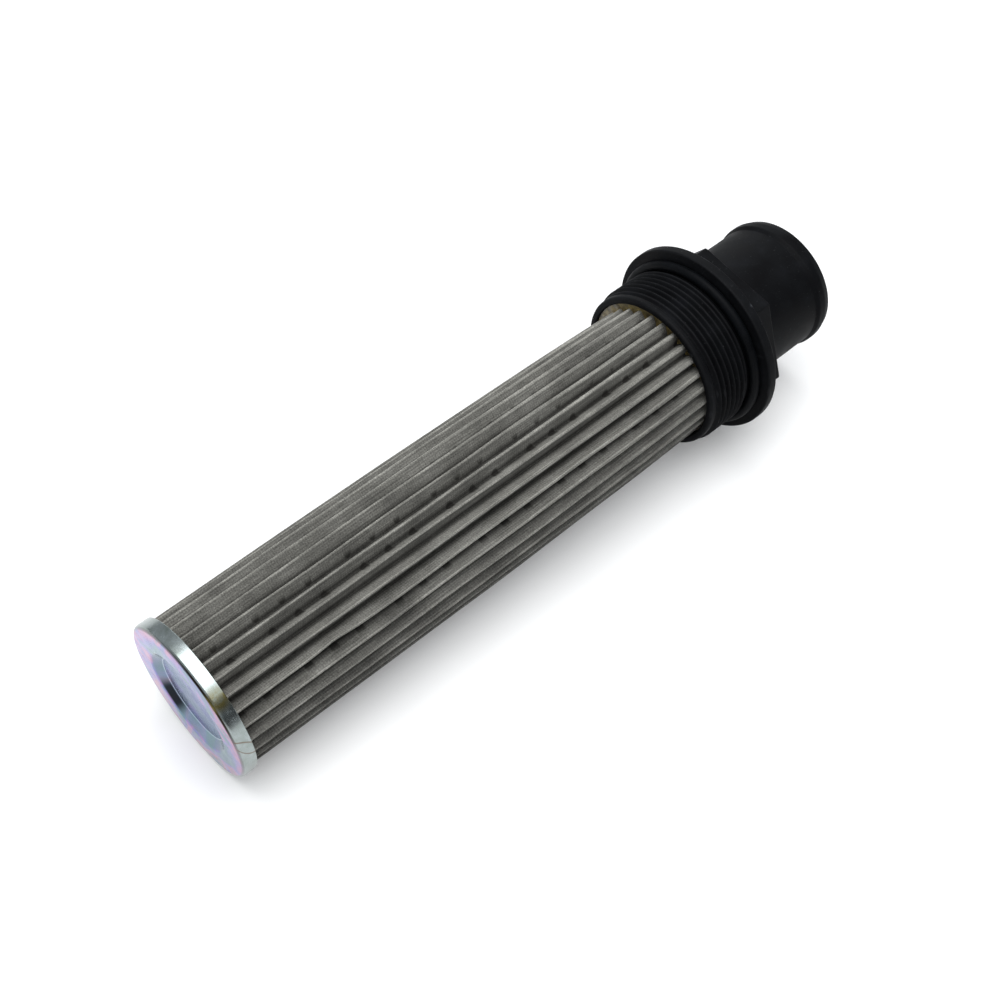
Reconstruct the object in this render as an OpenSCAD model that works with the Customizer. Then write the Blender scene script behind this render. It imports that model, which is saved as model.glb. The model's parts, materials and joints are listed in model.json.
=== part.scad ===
// Hydraulic suction strainer: a pleated wire mesh element on a perforated core,
// closed by a pressed end cap and potted into a threaded connector with a hose tail.
// Millimetres. The axis runs along X, from the end cap to the hose tail.
// The origin lies on the axis, in the flange face that seals on the tank wall.

/* [Tank thread] */
// Major diameter of the two inch pipe thread
thread_d = 59.614; // [58:0.001:62]
// Depth of the thread
thread_depth = 1.479; // [1:0.001:1.8]
// Pitch of the thread
thread_pitch = 2.309; // [1.8:0.001:3]
// Angle between the flanks of the thread
thread_angle = 55; // [45:1:60]
// Width of the flat on a crest of the thread
crest_flat = 0.4; // [0.2:0.05:0.6]
// Length of the threaded band
thread_l = 15.8; // [10:0.1:25]
// Length of the plain rim in front of the thread
rim_l = 2.8; // [1.5:0.1:6]
// Rounding of the rim's outer edge
rim_edge_r = 1; // [0.4:0.1:1.4]

/* [Cup] */
// Wall between the cup and the root of the thread
cup_wall = 2; // [1.8:0.1:3]
// Depth of the cup that holds the element
cup_depth = 13; // [8:0.1:18]
// Rounding of the cup's inner corner
cup_corner_r = 1; // [0.4:0.1:2]
// Chamfer of the cup's mouth
mouth_chamfer = 0.4; // [0.1:0.1:0.6]

/* [Seal] */
// Section of the O-ring
oring_d = 3.53; // [2.5:0.01:5]
// Gap between the O-ring and its seat
oring_gap = 0.06; // [0.02:0.01:0.15]

/* [Flange and hexagon] */
// Reach of the flange beyond the O-ring
flange_margin = 3.2; // [2:0.1:8]
// Thickness of the flange
flange_t = 3.6; // [2:0.1:8]
// Rounding of the flange's edges
flange_edge_r = 0.6; // [0.2:0.1:0.9]
// Step from the spigot to a flat of the hexagon
hex_step = 2.8; // [1.6:0.1:5]
// Height of the hexagon
hex_h = 10.2; // [5:0.1:16]
// Turn of the hexagon about the axis
hex_turn = 43; // [0:1:60]

/* [Hose tail] */
// Length of the tail behind the flange face
tail_l = 46.1; // [36:0.1:80]
// Outer radius of the spigot
spigot_r = 23.2; // [22:0.1:24]
// Wall of the spigot around the oil passage
spigot_wall = 4.2; // [3.4:0.1:6]
// Height of the bead that holds the hose
bead_h = 0.9; // [0.4:0.1:1.5]
// Length of the bead
bead_l = 7.3; // [5.5:0.1:12]
// Length of the slope up to the bead
bead_rise_l = 1.4; // [0.6:0.1:2]
// Length of the slope from the bead to the end
bead_fall_l = 3.2; // [1:0.1:3.8]
// Amount by which the end is narrower than the spigot
tail_lead = 0.2; // [0.1:0.1:1]
// Chamfer at the mouth of the oil passage
bore_chamfer = 0.8; // [0.2:0.1:2]
// Fillet between the hexagon and the spigot
root_fillet = 1.2; // [0.4:0.1:1.6]

/* [Pleated mesh] */
// Distance from the flange face to the outer face of the end cap
element_l = 215.4; // [120:0.1:400]
// Number of pleats
pleats = 29; // [20:1:34]
// Thickness of the woven mesh
mesh_t = 0.5; // [0.3:0.05:0.7]
// Bend radius of a fold, at the middle of the mesh
fold_r = 0.7; // [0.5:0.05:0.9]
// Turn of the first crest about the axis
pleat_turn = 2; // [0:0.1:18]
// Gap between the pleats and the wall of the cup
cup_gap = 0.4; // [0.2:0.1:0.8]
// Gap between the pleats and the core
mesh_gap = 0.25; // [0.2:0.05:0.4]

/* [Core tube] */
// Wall of the core tube
core_wall = 0.6; // [0.4:0.1:0.8]
// Step from the oil passage out to the bore of the core
core_step = 0.4; // [0.2:0.1:1]
// Diameter of a hole
hole_d = 3; // [2:0.1:4]
// Holes around one turn of the wound strip
holes_round = 19; // [8:1:20]
// Rows of holes across the strip
strip_rows = 3; // [1:1:4]
// Distance between the rows
row_pitch = 9.4; // [6:0.1:10]
// Width of the strip along the axis, which is the lead of its winding
strip_w = 33.6; // [32:0.1:50]

/* [End cap] */
// Gap between the pleats and the skirt
cap_gap = 0.3; // [0.2:0.1:0.8]
// Thickness of the sheet
cap_t = 0.6; // [0.4:0.1:1]
// Height of the skirt, over the face
cap_h = 5; // [4:0.1:10]
// Outer radius of the pressed edge
cap_edge_r = 1.4; // [1.2:0.1:2]
// Gap between the dished well and the core around it
well_gap = 1.2; // [0.6:0.1:2]
// Radius that the well loses down its sloping wall
well_slope = 3; // [1:0.1:6]
// Depth of the well
well_depth = 2.2; // [1:0.1:4]

/* [Resin] */
// Gap between the resin and what it holds
bond_gap = 0.05; // [0.02:0.01:0.1]
// Distance of the resin below the rim of the cup or the cap
resin_drop = 0.8; // [0.3:0.1:1.5]
// Resin left between the end of the mesh and the floor it is cast on
resin_floor = 1; // [0.6:0.1:1.5]

/* [Hidden] */
$fn = 96;
fold_steps = 6;
through = 1;

// Stations along the axis, from the cap to the tail
cap_face = -element_l;
cap_floor = cap_face + cap_t;
cap_lip = cap_face + cap_h;
neck_l = oring_d + 2 * oring_gap;
thread_end = -neck_l;
thread_start = thread_end - thread_l;
cup_mouth = thread_start - rim_l;
cup_floor = cup_mouth + cup_depth;
hex_back = flange_t + hex_h;
bead_start = tail_l - bead_l;

// Ridges of the thread, drawn as rings and centred on the threaded band
ridge_l = crest_flat + 2 * thread_depth * tan(thread_angle / 2);
ridges = floor((thread_l - ridge_l) / thread_pitch) + 1;
first_ridge = (thread_start + thread_end - (ridges - 1) * thread_pitch) / 2;

// Radii of the connector, from the thread and the spigot
thread_r = thread_d / 2;
minor_r = thread_r - thread_depth;
oring_r = minor_r + oring_gap + oring_d / 2;
flange_r = oring_r + oring_d / 2 + flange_margin;
cup_r = minor_r - cup_wall;
bore_r = spigot_r - spigot_wall;
bead_r = spigot_r + bead_h;
tail_end_r = spigot_r - tail_lead;

// Radii of the element, which stands in the cup and around the oil passage
pack_r = cup_r - cup_gap;
core_bore_r = bore_r + core_step;
core_r = core_bore_r + core_wall;
cap_bore_r = pack_r + cap_gap;
cap_r = cap_bore_r + cap_t;
well_r = core_bore_r - well_gap - cap_t;
well_floor_r = well_r - well_slope;

// Pleats: centres of the folds, and how far a fold turns each way from the radius
pitch_a = 360 / pleats;
half_a = pitch_a / 2;
crest_c = pack_r - fold_r - mesh_t / 2;
valley_c = core_r + mesh_gap + fold_r + mesh_t / 2;
fold_step = valley_c * [cos(half_a), sin(half_a)] - [crest_c, 0];
fold_turn = atan2(fold_step[1], fold_step[0]) - acos(2 * fold_r / norm(fold_step));

// Mesh, from the resin floor in the cap to the resin floor in the cup
mesh_start = cap_floor + resin_floor;
mesh_end = cup_floor - resin_floor;

// Perforated length of the core, clear of the resin at both ends
holes_from = cap_lip + hole_d;
holes_to = cup_mouth - hole_d;
turns = ceil((holes_to - holes_from) / strip_w);

// Turns a piece drawn along Z to lie along the X axis
module along_axis() {
    rotate([0, 90, 0]) children();
}

// Half section of a disc whose outer edge at its lower face is rounded
module rounded_disc(r, h, edge) {
    square([r - edge, h]);
    translate([0, edge]) square([r, h - edge]);
    translate([r - edge, edge]) circle(edge);
}

// Points of one fold: an arc about a centre, from one direction to another
function fold(centre, r, from, to) = [
    for (i = [0 : fold_steps])
        let (a = from + (to - from) * i / fold_steps)
            centre + r * [cos(a), sin(a)]
];

// Outline of the pleated sheet, moved outwards by off from its middle
function pleat_outline(off) = [
    for (i = [0 : pleats - 1])
        let (crest_a = pleat_turn + i * pitch_a, valley_a = crest_a + half_a, in_a = valley_a + 180)
            each concat(
                fold(crest_c * [cos(crest_a), sin(crest_a)], fold_r + off,
                     crest_a - fold_turn, crest_a + fold_turn),
                fold(valley_c * [cos(valley_a), sin(valley_a)], fold_r - off,
                     in_a + fold_turn - half_a, in_a - fold_turn + half_a))
];

// Section of the pleated sheet, thicker by a gap on each face
module pleat_section(gap = 0) {
    off = mesh_t / 2 + gap;
    difference() {
        polygon(pleat_outline(off));
        polygon(pleat_outline(-off));
    }
}

// Resin ring on its floor, between the core and a wall, cast around the end of the pleats
module resin_ring(wall_r, corner_r, depth) {
    difference() {
        rotate_extrude() rounded_disc(wall_r - bond_gap, depth, corner_r);
        translate([0, 0, -through]) cylinder(r = core_r + bond_gap, h = depth + 2 * through);
        translate([0, 0, resin_floor - bond_gap]) linear_extrude(depth) pleat_section(bond_gap);
    }
}

// Half section of one ridge of the thread, on the root
module ridge_section() {
    polygon([
        [0, -ridge_l / 2],
        [minor_r, -ridge_l / 2],
        [thread_r, -crest_flat / 2],
        [thread_r, crest_flat / 2],
        [minor_r, ridge_l / 2],
        [0, ridge_l / 2]
    ]);
}

// Half section of the connector in front of the hexagon: rim, thread, neck and flange
module front_section() {
    translate([0, cup_mouth]) rounded_disc(minor_r, -cup_mouth, rim_edge_r);
    for (i = [0 : ridges - 1])
        translate([0, first_ridge + i * thread_pitch]) ridge_section();
    rounded_disc(flange_r, flange_t - flange_edge_r, flange_edge_r);
    translate([0, flange_t]) mirror([0, 1]) rounded_disc(flange_r, flange_t - flange_edge_r, flange_edge_r);
}

// Half section of the hose tail, with its bead and the fillet at its root
module tail_section() {
    polygon([
        [0, flange_t],
        [spigot_r, flange_t],
        [spigot_r, bead_start],
        [bead_r, bead_start + bead_rise_l],
        [bead_r, tail_l - bead_fall_l],
        [tail_end_r, tail_l],
        [0, tail_l]
    ]);
    difference() {
        translate([0, hex_back]) square([spigot_r + root_fillet, root_fillet]);
        translate([spigot_r + root_fillet, hex_back + root_fillet]) circle(root_fillet);
    }
}

// Half section of the hollow: cup for the element, then the oil passage
module hollow_section() {
    translate([0, cup_floor]) mirror([0, 1]) rounded_disc(cup_r, cup_depth + through, cup_corner_r);
    translate([0, cup_mouth]) polygon([
        [0, 0], [cup_r + mouth_chamfer, 0], [cup_r, mouth_chamfer], [0, mouth_chamfer]
    ]);
    translate([0, cup_floor - through]) square([bore_r, tail_l - cup_floor + 2 * through]);
    translate([0, tail_l]) polygon([
        [0, 0], [bore_r + bore_chamfer, 0], [bore_r, -bore_chamfer], [0, -bore_chamfer]
    ]);
}

// Moulded connector: cup, tank thread, seal neck, flange, hexagon and hose tail in one piece
module connector() {
    color("#2a2b2d") along_axis() difference() {
        union() {
            rotate_extrude() front_section();
            translate([0, 0, flange_t]) rotate(hex_turn)
                cylinder(r = (spigot_r + hex_step) / cos(30), h = hex_h, $fn = 6);
            rotate_extrude() tail_section();
        }
        rotate_extrude() hollow_section();
    }
}

// Rubber seal, on the neck and against the flange
module o_ring() {
    color("#26282c") along_axis() translate([0, 0, -oring_d / 2 - oring_gap])
        rotate_extrude() translate([oring_r, 0]) circle(d = oring_d);
}

// Woven wire mesh, folded into pleats around the core
module pleated_mesh() {
    color("#8f8d86") along_axis() translate([0, 0, mesh_start])
        linear_extrude(mesh_end - mesh_start) pleat_section();
}

// Core tube wound from a strip with rows of holes
module core_tube() {
    length = cup_floor - cap_floor;
    color("#a7aaac") along_axis() difference() {
        translate([0, 0, cap_floor]) cylinder(r = core_r, h = length);
        translate([0, 0, cap_floor - through]) cylinder(r = core_bore_r, h = length + 2 * through);
        for (turn = [-1 : turns], row = [0 : strip_rows - 1], k = [0 : holes_round - 1]) {
            s = holes_from + strip_w * (turn + k / holes_round) + row_pitch * row;
            if (s >= holes_from && s <= holes_to)
                translate([0, 0, s]) rotate([0, 90, 360 * k / holes_round])
                    translate([0, 0, core_bore_r - through]) cylinder(d = hole_d, h = core_wall + 2 * through);
        }
    }
}

// Pressed end cap with a rounded edge and a dished well that centres the core
module end_cap() {
    color("#c3c6d2") along_axis() translate([0, 0, cap_face]) rotate_extrude() difference() {
        union() {
            difference() {
                rounded_disc(cap_r, cap_h, cap_edge_r);
                translate([0, cap_t]) rounded_disc(cap_bore_r, cap_h, cap_edge_r - cap_t);
            }
            polygon([
                [0, 0], [well_r + cap_t, 0], [well_floor_r + cap_t, well_depth + cap_t], [0, well_depth + cap_t]
            ]);
        }
        polygon([[0, 0], [well_r, 0], [well_floor_r, well_depth], [0, well_depth]]);
    }
}

// Resin that holds the element in the connector's cup
module outlet_potting() {
    color("#b08a4c") along_axis() translate([0, 0, cup_floor]) mirror([0, 0, 1])
        resin_ring(cup_r, cup_corner_r, cup_depth - resin_drop);
}

// Resin that holds the element in the end cap
module cap_potting() {
    color("#b08a4c") along_axis() translate([0, 0, cap_floor])
        resin_ring(cap_bore_r, cap_edge_r - cap_t, cap_h - cap_t - resin_drop);
}

connector();
o_ring();
pleated_mesh();
core_tube();
end_cap();
outlet_potting();
cap_potting();
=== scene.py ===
"""Looks of a hydraulic suction strainer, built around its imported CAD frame.

Metres, in the CAD part's frame: the axis runs along X from the end cap to the hose tail, and the origin
lies in the flange face. Angles go round the axis from +Y towards +Z. Sizes of pieces are in millimetres.
"""

import json
import logging
import math
from abc import ABC, abstractmethod
from dataclasses import dataclass
from enum import Enum
from typing import ClassVar, NamedTuple

import bmesh
import bpy
import numpy as np
from mathutils import Matrix, Vector

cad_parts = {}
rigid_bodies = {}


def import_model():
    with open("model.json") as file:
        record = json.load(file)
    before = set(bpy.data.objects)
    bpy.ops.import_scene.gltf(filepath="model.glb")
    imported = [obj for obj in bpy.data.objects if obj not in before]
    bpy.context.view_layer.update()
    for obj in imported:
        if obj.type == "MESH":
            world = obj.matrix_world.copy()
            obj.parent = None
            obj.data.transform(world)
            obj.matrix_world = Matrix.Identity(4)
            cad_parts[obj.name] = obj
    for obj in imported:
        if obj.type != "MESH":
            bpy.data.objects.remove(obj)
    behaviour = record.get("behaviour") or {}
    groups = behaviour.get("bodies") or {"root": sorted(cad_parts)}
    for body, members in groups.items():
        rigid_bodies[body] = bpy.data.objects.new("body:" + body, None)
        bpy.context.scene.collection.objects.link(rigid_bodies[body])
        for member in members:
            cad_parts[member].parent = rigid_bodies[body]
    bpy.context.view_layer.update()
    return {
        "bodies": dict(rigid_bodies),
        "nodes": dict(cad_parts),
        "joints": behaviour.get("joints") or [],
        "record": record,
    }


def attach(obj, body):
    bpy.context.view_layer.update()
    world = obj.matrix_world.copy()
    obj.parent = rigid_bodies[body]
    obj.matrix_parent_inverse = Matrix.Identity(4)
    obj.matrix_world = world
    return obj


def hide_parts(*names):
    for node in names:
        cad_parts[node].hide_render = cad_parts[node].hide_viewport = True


LOG = logging.getLogger("strainer")
MM = 0.001
BODY = "root"

# short names of the shader nodes that are used most
BUMP = "ShaderNodeBump"
MATH = "ShaderNodeMath"
MIX = "ShaderNodeMix"
NOISE = "ShaderNodeTexNoise"
PLACE = "ShaderNodeTexCoord"
RAMP = "ShaderNodeValToRGB"
SPLIT = "ShaderNodeSeparateXYZ"
SPREAD = "ShaderNodeMapRange"
VECTOR = "ShaderNodeVectorMath"

Colour = tuple[float, float, float, float]
Point = tuple[float, float, float]
Node = bpy.types.Node
Tree = bpy.types.NodeTree
Socket = bpy.types.NodeSocket


def linear(code: str) -> Colour:
    """Turns an sRGB hex colour into a linear one.

    Args:
        code: Six hex digits after a hash sign.

    Returns:
        Linear red, green and blue, and an alpha of one.
    """
    parts = [int(code[i : i + 2], 16) / 255 for i in (1, 3, 5)]
    return (*(c / 12.92 if c <= 0.04045 else ((c + 0.055) / 1.055) ** 2.4 for c in parts), 1.0)


def add_node(
    tree: Tree,
    kind: str,
    inputs: dict | None = None,
    stops: tuple[tuple[float, str], ...] = (),
    **settings: object,
) -> Node:
    """Adds a node with its settings, socket values, links and colour stops.

    Args:
        tree: The tree that gets the node.
        kind: Blender's type name of the node.
        inputs: Socket name or index to a value, to an output socket, or to a node whose first live output
            feeds it.
        stops: Positions and hex colours of a colour ramp, in order.
        settings: Properties of the node itself.

    Returns:
        The new node.
    """
    node = tree.nodes.new(kind)
    for name, value in settings.items():
        setattr(node, name, value)
    for socket, value in (inputs or {}).items():
        source = next(s for s in value.outputs if s.enabled) if isinstance(value, Node) else value
        if isinstance(source, Socket):
            tree.links.new(source, node.inputs[socket])
        else:
            node.inputs[socket].default_value = source
    while stops and len(node.color_ramp.elements) < len(stops):
        node.color_ramp.elements.new(1.0)
    for i, (position, code) in enumerate(stops):
        node.color_ramp.elements[i].position = position
        node.color_ramp.elements[i].color = linear(code)
    return node


@dataclass(frozen=True)
class Finish(ABC):
    """A material with its process, made from nodes at real sizes."""

    name: ClassVar[str]

    @abstractmethod
    def shade(self, tree: Tree) -> dict[str, object]:
        """Adds the finish's own nodes.

        Args:
            tree: The material's node tree.

        Returns:
            Values and nodes for the sockets of the principled shader.
        """

    def material(self) -> bpy.types.Material:
        """Makes the material, which ends in one principled shader."""
        material = bpy.data.materials.new(self.name)
        material.use_nodes = True
        tree = material.node_tree
        tree.nodes.clear()
        shader = add_node(tree, "ShaderNodeBsdfPrincipled", self.shade(tree))
        add_node(tree, "ShaderNodeOutputMaterial", {"Surface": shader})
        return material


@dataclass(frozen=True)
class MouldedNylon(Finish):
    """Glass-filled nylon, injection moulded.

    It looks satin black, with cloudy flow marks, rubbed edges, a little dust and one scuff.
    """

    name: ClassVar[str] = "moulded_nylon"
    flow_mm: float = 9.0
    grain_mm: float = 0.7  # real fibre marks are finer; drawn this coarse so that they show
    relief_mm: float = 0.05
    speck_mm: float = 0.7  # real dust is finer; drawn this coarse so that it shows
    scuff_at_mm: Point = (3.3, -20.9, 28.1)
    scuff_mm: float = 0.9
    scuff_core: float = 0.2

    def shade(self, tree: Tree) -> dict[str, object]:
        """Adds the nylon's nodes; see Finish.shade."""
        place = add_node(tree, PLACE).outputs["Object"]
        flow = add_node(tree, NOISE, {"Vector": place, "Scale": 1 / (self.flow_mm * MM), "Detail": 4.0})
        grain = add_node(
            tree, NOISE, {"Vector": place, "Scale": 1 / (self.grain_mm * MM), "Detail": 3.0, "Roughness": 0.7}
        )
        edge = add_node(tree, "ShaderNodeNewGeometry").outputs["Pointiness"]
        proud = add_node(tree, SPREAD, {"Value": edge, "From Min": 0.51, "From Max": 0.58, "To Max": 0.55})
        speck = add_node(
            tree, NOISE, {"Vector": place, "Scale": 1 / (self.speck_mm * MM), "Detail": 2.0, "Roughness": 0.6}
        )
        dust = add_node(tree, SPREAD, {"Value": speck, "From Min": 0.67, "From Max": 0.78, "To Max": 0.4})
        centre = tuple(c * MM for c in self.scuff_at_mm)
        away = add_node(tree, VECTOR, {0: place, 1: centre}, operation="DISTANCE")
        reach = self.scuff_mm * MM
        near = add_node(tree, SPREAD, {"Value": away, "From Min": reach, "From Max": self.scuff_core * reach})
        scuff = add_node(tree, MATH, {0: near, 1: grain}, operation="MULTIPLY")
        colour = add_node(tree, RAMP, {"Fac": flow}, ((0.3, "#0a0a0c"), (0.55, "#0f1012"), (0.75, "#151619")))
        for share, code in ((proud, "#2c2d2f"), (dust, "#4c4e50"), (scuff, "#4c5054")):
            colour = add_node(tree, MIX, {"Factor": share, "A": colour, "B": linear(code)}, data_type="RGBA")
        rough = add_node(
            tree, SPREAD, {"Value": flow, "From Min": 0.3, "From Max": 0.7, "To Min": 0.48, "To Max": 0.6}
        )
        bump = add_node(tree, BUMP, {"Height": grain, "Strength": 0.25, "Distance": self.relief_mm * MM})
        return {
            "Base Color": colour,
            "Roughness": rough,
            "Normal": bump,
            "IOR": 1.53,
            "Specular IOR Level": 0.04,
        }


@dataclass(frozen=True)
class NitrileRubber(Finish):
    """Nitrile rubber, pressed in a mould: smooth blue-black, nearly dull, with dusty patches."""

    name: ClassVar[str] = "seal_rubber"
    bloom_mm: float = 6.0

    def shade(self, tree: Tree) -> dict[str, object]:
        """Adds the rubber's nodes; see Finish.shade."""
        place = add_node(tree, PLACE).outputs["Object"]
        scale = 1 / (self.bloom_mm * MM)
        bloom = add_node(tree, NOISE, {"Vector": place, "Scale": scale, "Detail": 5.0, "Roughness": 0.65})
        colour = add_node(tree, RAMP, {"Fac": bloom}, ((0.35, "#060709"), (0.7, "#0b0d10")))
        rough = add_node(
            tree, SPREAD, {"Value": bloom, "From Min": 0.3, "From Max": 0.7, "To Min": 0.45, "To Max": 0.6}
        )
        return {"Base Color": colour, "Roughness": rough, "IOR": 1.52, "Specular IOR Level": 0.05}


@dataclass(frozen=True)
class Perforation:
    """The wound core's rows of holes, which show through the mesh that lies on it."""

    first_mm: float = -207.4
    strip_mm: float = 33.6
    row_mm: float = 9.4
    rows: int = 3
    round_count: int = 19
    core_r_mm: float = 20.0
    hole_d_mm: float = 3.0


@dataclass(frozen=True)
class WovenStainless(Finish):
    """Stainless wire, plain woven and folded.

    It looks grey with a warm cast, with fine painted glints and streaks along the folds, painted shade in the
    valleys and a painted highlight on the crests. Painted shade stands for the core's dark inside, seen
    through the mesh over its holes, as dark spots, most where the mesh lies on the core.
    """

    name: ClassVar[str] = "wire_mesh"
    wire_mm: float = 0.42  # real wires lie 0.2 mm apart; drawn this coarse so that the weave shows
    relief_mm: float = 0.05
    cloud_mm: float = 14.0
    glint_mm: float = 0.45  # the glints of single wires, drawn this coarse so that they show
    streak_mm: tuple[float, float] = (0.55, 18.0)
    holes: Perforation = Perforation()
    spot_fade: tuple[float, float] = (1.1, 0.8)

    def spots(self, tree: Tree, place: Socket) -> Node:
        """Marks where the mesh lies over a hole of the core.

        Args:
            tree: The material's node tree.
            place: The point in the row frame, in metres.

        Returns:
            A node that gives one over a hole and nought away from it.
        """
        holes = self.holes
        count, strip, row = holes.round_count, holes.strip_mm, holes.row_mm
        axes = add_node(tree, SPLIT, {"Vector": place}).outputs
        turn = add_node(tree, MATH, {0: axes["Z"], 1: axes["Y"]}, operation="ARCTAN2")
        # the first hole of a turn lies straight down, a quarter turn before +Y
        column = add_node(tree, MATH, {0: turn, 1: count / math.tau, 2: count / 4}, operation="MULTIPLY_ADD")
        nearest = add_node(tree, MATH, {0: column}, operation="ROUND")
        aside = add_node(tree, MATH, {0: column, 1: nearest}, operation="SUBTRACT")
        arc = add_node(tree, MATH, {0: aside, 1: math.tau * holes.core_r_mm / count}, operation="MULTIPLY")
        half_row = 0.5 * row
        inset = half_row / strip
        lead = add_node(tree, MATH, {0: nearest, 1: -1 / count, 2: inset}, operation="MULTIPLY_ADD")
        start = add_node(tree, MATH, {0: axes["X"], 1: holes.first_mm * MM}, operation="SUBTRACT")
        wound = add_node(tree, MATH, {0: start, 1: 1 / (strip * MM), 2: lead}, operation="MULTIPLY_ADD")
        share = add_node(tree, MATH, {0: wound}, operation="FRACT")
        across = add_node(tree, MATH, {0: share, 1: strip, 2: -half_row}, operation="MULTIPLY_ADD")
        rows_up = add_node(tree, MATH, {0: across, 1: row}, operation="DIVIDE")
        whole = add_node(tree, MATH, {0: rows_up}, operation="ROUND")
        kept = add_node(tree, MATH, {0: whole, 1: holes.rows - 1.0}, operation="MINIMUM")
        along = add_node(tree, MATH, {0: kept, 1: -row, 2: across}, operation="MULTIPLY_ADD")
        offset = add_node(tree, "ShaderNodeCombineXYZ", {"X": arc, "Y": along})
        away = add_node(tree, VECTOR, {0: offset}, operation="LENGTH")
        outer, inner = (share * holes.hole_d_mm / 2 for share in self.spot_fade)
        span = {"Value": away, "From Min": outer, "From Max": inner}
        return add_node(tree, SPREAD, span, interpolation_type="SMOOTHSTEP")

    def shade(self, tree: Tree) -> dict[str, object]:
        """Adds the mesh's nodes; see Finish.shade."""
        place = add_node(tree, PLACE).outputs["Object"]
        flat = add_node(tree, "ShaderNodeAttribute", attribute_name="sheet").outputs["Vector"]
        sheet = add_node(tree, SPLIT, {"Vector": flat}).outputs
        waves = []
        for axis in ("X", "Y"):
            phase = add_node(tree, MATH, {0: sheet[axis], 1: math.pi / self.wire_mm}, operation="MULTIPLY")
            waves.append(add_node(tree, MATH, {0: phase}, operation="SINE"))
        weave = add_node(tree, MATH, {0: waves[0], 1: waves[1]}, operation="MULTIPLY")
        cloud = add_node(
            tree, NOISE, {"Vector": place, "Scale": 1 / (self.cloud_mm * MM), "Detail": 4.0, "Roughness": 0.6}
        )
        wire_glint = add_node(
            tree, NOISE, {"Vector": place, "Scale": 1 / (self.glint_mm * MM), "Detail": 2.0, "Roughness": 0.8}
        )
        stretch = (1 / self.streak_mm[0], 1 / self.streak_mm[1], 0.0)
        drawn = add_node(tree, "ShaderNodeMapping", {"Vector": flat, "Scale": stretch})
        streak = add_node(tree, NOISE, {"Vector": drawn, "Scale": 1.0, "Detail": 3.0, "Roughness": 0.7})
        wire = add_node(tree, RAMP, {"Fac": cloud}, ((0.3, "#666561"), (0.5, "#75746f"), (0.7, "#84837e")))
        # what is read, its lowest and highest value, and the brightness at each of the two
        tones = (
            # painted glints of single wires
            (wire_glint, 0.3, 0.7, 0.6, 1.38),
            (streak, 0.3, 0.7, 0.68, 1.32),
            (waves[0], -1.0, 1.0, 0.9, 1.1),
            (waves[1], -1.0, 1.0, 0.92, 1.08),
            # painted shade: the valleys are darker
            (sheet["Z"], 0.05, 0.45, 0.26, 0.86),
            # painted highlight: the crests are brighter
            (sheet["Z"], 0.94, 1.0, 1.0, 1.5),
        )
        for value, low, high, dull, bright in tones:
            span = {"Value": value, "From Min": low, "From Max": high, "To Min": dull, "To Max": bright}
            wire = add_node(tree, VECTOR, {0: wire, "Scale": add_node(tree, SPREAD, span)}, operation="SCALE")
        up = sheet["Z"]
        depth = add_node(tree, SPREAD, {"Value": up, "From Min": 0.62, "From Max": 0.2, "To Max": 0.7})
        # painted shade: the core's dark inside, seen through the mesh over each hole, darkens the mesh, most
        # where it lies on the core
        hole_shade = add_node(tree, MATH, {0: self.spots(tree, place), 1: depth}, operation="MULTIPLY")
        colour = add_node(tree, MIX, {"Factor": hole_shade, "A": wire, "B": linear("#1d1c1a")}, data_type="RGBA")
        bump = add_node(tree, BUMP, {"Height": weave, "Strength": 0.3, "Distance": self.relief_mm * MM})
        return {
            "Base Color": colour,
            "Metallic": 0.03,
            "Roughness": 0.58,
            "Specular IOR Level": 0.03,
            "Diffuse Roughness": 0.8,
            "Normal": bump,
        }


@dataclass(frozen=True)
class PerforatedStrip(Finish):
    """Mild steel strip, perforated and wound: dull grey with streaks along the winding."""

    name: ClassVar[str] = "core_steel"
    streak_mm: float = 2.0
    streak_stretch: Point = (1.0, 0.15, 0.15)

    def shade(self, tree: Tree) -> dict[str, object]:
        """Adds the strip's nodes; see Finish.shade."""
        place = add_node(tree, PLACE).outputs["Object"]
        drawn = add_node(tree, "ShaderNodeMapping", {"Vector": place, "Scale": self.streak_stretch})
        streak = add_node(tree, NOISE, {"Vector": drawn, "Scale": 1 / (self.streak_mm * MM), "Detail": 4.0})
        colour = add_node(tree, RAMP, {"Fac": streak}, ((0.3, "#84868a"), (0.7, "#b0b2b5")))
        return {"Base Color": colour, "Metallic": 1.0, "Roughness": 0.4}


class Scratch(NamedTuple):
    """A scratch across the cap's skirt: middle along the axis, angle, slant and bend in millimetres."""

    x_mm: float
    turn_deg: float
    slant: float
    bend: float


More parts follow.
